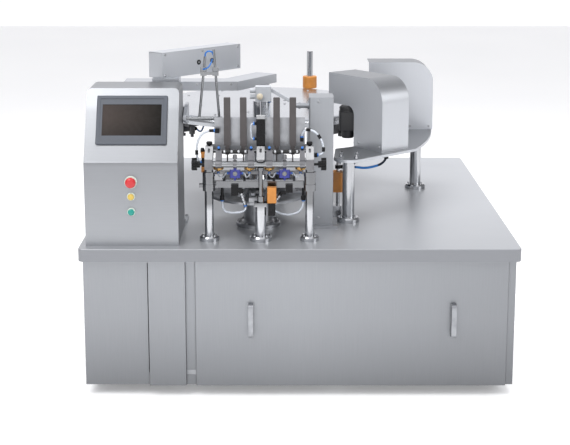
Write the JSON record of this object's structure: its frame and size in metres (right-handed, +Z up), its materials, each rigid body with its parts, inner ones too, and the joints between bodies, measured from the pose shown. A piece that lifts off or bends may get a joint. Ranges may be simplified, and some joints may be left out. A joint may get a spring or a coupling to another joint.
{
  "type": "rotary vacuum packing machine",
  "caption": "Rotary vacuum packing machine: steel cabinet and table, slanted operator console, bag magazine, gripper rotor, vacuum carousel, guards and pillars.",
  "frame": {"origin": "on the floor under the middle of the table top, at the underside of the feet", "axes": "+Z up, -Y towards the operator's front with the lift-off cover and console, +X to the operator's right"},
  "size_m": [1.7, 1.8, 1.3354],
  "materials": {
    "stainless_sheet": "brushed satin",
    "frame_steel": "machined",
    "polished_steel": "polished",
    "cast_iron": "cast, painted",
    "motor_paint": "satin black",
    "black_rubber": "matt",
    "bezel_grey": "satin",
    "screen_glass": "dark glass",
    "red_plastic": "gloss",
    "yellow_plastic": "gloss",
    "green_plastic": "gloss",
    "black_plastic": "satin",
    "guide_bar_grey": "matt",
    "white_plastic": "satin",
    "orange_plastic": "satin",
    "brass": "turned",
    "blue_plastic": "gloss",
    "grey_case": "satin",
    "clear_tube": "translucent hose",
    "cable_black": "matt"
  },
  "bodies": {
    "machine": {"air_tubes": "clear_tube", "bag_backs": "stainless_sheet", "base_frame": "frame_steel", "button_collars": "polished_steel", "cable_bundle": "cable_black", "cable_ducts": "stainless_sheet", "column_box": "stainless_sheet", "console_shell": "stainless_sheet", "drive_belt": "black_rubber", "duct_posts": "stainless_sheet", "fixed_panels": "stainless_sheet", "front_rail": "polished_steel", "guard_bolts": "polished_steel", "guard_plate": "frame_steel", "guards": "stainless_sheet", "hmi_bezel": "bezel_grey", "hmi_screen": "screen_glass", "index_boxes": "cast_iron", "levelling_feet": "frame_steel", "lift_cylinder": "black_plastic", "magazine_heads": "frame_steel", "main_gearmotor": "motor_paint", "narrow_cover": "stainless_sheet", "orange_blocks": "orange_plastic", "pillars": "polished_steel", "rear_panels": "stainless_sheet", "sensor_head": "grey_case", "side_motor": "motor_paint", "side_plates": "white_plastic", "table_top": "stainless_sheet", "tube_fittings": "black_plastic", "turret_housings": "frame_steel", "turret_stems": "polished_steel"},
    "front_cover": {"front_cover": "stainless_sheet", "cover_handles": "polished_steel"},
    "stop_button": {"stop_button": "red_plastic"},
    "yellow_button": {"yellow_button": "yellow_plastic"},
    "green_button": {"green_button": "green_plastic"},
    "left_knob": {"left_knob": "black_plastic"},
    "right_knob": {"right_knob": "black_plastic"},
    "guide_1": {"guide_bar_1": "guide_bar_grey"},
    "guide_2": {"guide_bar_2": "guide_bar_grey"},
    "guide_3": {"guide_bar_3": "guide_bar_grey"},
    "guide_4": {"guide_bar_4": "guide_bar_grey"},
    "feed_roller": {"feed_roller": "black_rubber"},
    "suction_arm": {"suction_bar": "frame_steel", "suction_cups": "brass", "vacuum_ejectors": "blue_plastic"},
    "swing_frame": {"swing_frame": "polished_steel"},
    "lift_rod": {"lift_cap": "white_plastic"},
    "rotor": {"rotor_disc": "frame_steel", "gripper_brackets": "frame_steel"},
    "jaw_1": {"gripper_jaw_1": "frame_steel"},
    "jaw_2": {"gripper_jaw_2": "frame_steel"},
    "jaw_3": {"gripper_jaw_3": "frame_steel"},
    "jaw_4": {"gripper_jaw_4": "frame_steel"},
    "carousel": {"carousel_table": "frame_steel", "carousel_cover": "polished_steel", "station_units": "frame_steel"},
    "line_shaft": {"line_shaft": "frame_steel"}
  },
  "joints": [
    {"name": "front_cover_pull", "type": "slide", "parent": "machine", "child": "front_cover", "axis": [0, -1, 0], "range_m": [0, 0.3]},
    {"name": "stop_button_press", "type": "slide", "parent": "machine", "child": "stop_button", "axis": [0, 1, 0], "range_m": [0, 0.0045], "stiffness_N_per_m": 900},
    {"name": "yellow_button_press", "type": "slide", "parent": "machine", "child": "yellow_button", "axis": [0, 1, 0], "range_m": [0, 0.0035], "stiffness_N_per_m": 600},
    {"name": "green_button_press", "type": "slide", "parent": "machine", "child": "green_button", "axis": [0, 1, 0], "range_m": [0, 0.0035], "stiffness_N_per_m": 600},
    {"name": "left_knob_turn", "type": "hinge", "parent": "machine", "child": "left_knob", "pos_m": [-0.4, -0.762, 0.91], "axis": [1, 0, 0], "range_deg": [-1080, 1080]},
    {"name": "right_knob_turn", "type": "hinge", "parent": "machine", "child": "right_knob", "pos_m": [0.09, -0.762, 0.91], "axis": [1, 0, 0], "range_deg": [-1080, 1080]},
    {"name": "guide_1_slide", "type": "slide", "parent": "machine", "child": "guide_1", "axis": [1, 0, 0], "range_m": [-0.0111, 0.0111]},
    {"name": "guide_2_slide", "type": "slide", "parent": "machine", "child": "guide_2", "axis": [1, 0, 0], "range_m": [-0.0111, 0.0111]},
    {"name": "guide_3_slide", "type": "slide", "parent": "machine", "child": "guide_3", "axis": [1, 0, 0], "range_m": [-0.0111, 0.0111]},
    {"name": "guide_4_slide", "type": "slide", "parent": "machine", "child": "guide_4", "axis": [1, 0, 0], "range_m": [-0.0111, 0.0111]},
    {"name": "feed_roller_spin", "type": "hinge", "parent": "machine", "child": "feed_roller", "pos_m": [-0.156, -0.724, 0.952], "axis": [1, 0, 0], "continuous": true},
    {"name": "suction_arm_swing", "type": "hinge", "parent": "machine", "child": "suction_arm", "pos_m": [-0.156, -0.668, 0.82], "axis": [-1, 0, 0], "range_deg": [0, 60]},
    {"name": "swing_frame_swing", "type": "hinge", "parent": "machine", "child": "swing_frame", "pos_m": [-0.4, -0.572, 1.059], "axis": [1, 0, 0], "range_deg": [-20, 30]},
    {"name": "lift_rod_rise", "type": "slide", "parent": "machine", "child": "lift_rod", "axis": [0, 0, 1], "range_m": [0, 0.04]},
    {"name": "rotor_spin", "type": "hinge", "parent": "machine", "child": "rotor", "pos_m": [-0.165, -0.505, 0.737], "axis": [0, 0, 1], "continuous": true},
    {"name": "carousel_spin", "type": "hinge", "parent": "machine", "child": "carousel", "pos_m": [-0.15, 0.29, 0.957], "axis": [0, 0, 1], "continuous": true},
    {"name": "line_shaft_spin", "type": "hinge", "parent": "machine", "child": "line_shaft", "pos_m": [-0.152, 0, 0.417], "axis": [0, 1, 0], "continuous": true},
    {"name": "jaw_1_open", "type": "hinge", "parent": "rotor", "child": "jaw_1", "pos_m": [-0.165, -0.633, 0.773], "axis": [-1, 0, 0], "range_deg": [0, 18], "stiffness_Nm_per_rad": 2, "springref_deg": -8.59},
    {"name": "jaw_2_open", "type": "hinge", "parent": "rotor", "child": "jaw_2", "pos_m": [-0.037, -0.505, 0.773], "axis": [0, -1, 0], "range_deg": [0, 18], "stiffness_Nm_per_rad": 2, "springref_deg": -8.59},
    {"name": "jaw_3_open", "type": "hinge", "parent": "rotor", "child": "jaw_3", "pos_m": [-0.165, -0.377, 0.773], "axis": [1, 0, 0], "range_deg": [0, 18], "stiffness_Nm_per_rad": 2, "springref_deg": -8.59},
    {"name": "jaw_4_open", "type": "hinge", "parent": "rotor", "child": "jaw_4", "pos_m": [-0.293, -0.505, 0.773], "axis": [0, 1, 0], "range_deg": [0, 18], "stiffness_Nm_per_rad": 2, "springref_deg": -8.59}
  ],
  "couplings": [
    {"joint": "guide_1_slide", "follows": "left_knob_turn", "m_per_rad": 0.00058357},
    {"joint": "guide_2_slide", "follows": "left_knob_turn", "m_per_rad": -0.00058357},
    {"joint": "guide_3_slide", "follows": "right_knob_turn", "m_per_rad": 0.00058357},
    {"joint": "guide_4_slide", "follows": "right_knob_turn", "m_per_rad": -0.00058357},
    {"joint": "rotor_spin", "follows": "carousel_spin", "ratio": -3},
    {"joint": "line_shaft_spin", "follows": "carousel_spin", "ratio": 12}
  ]
}
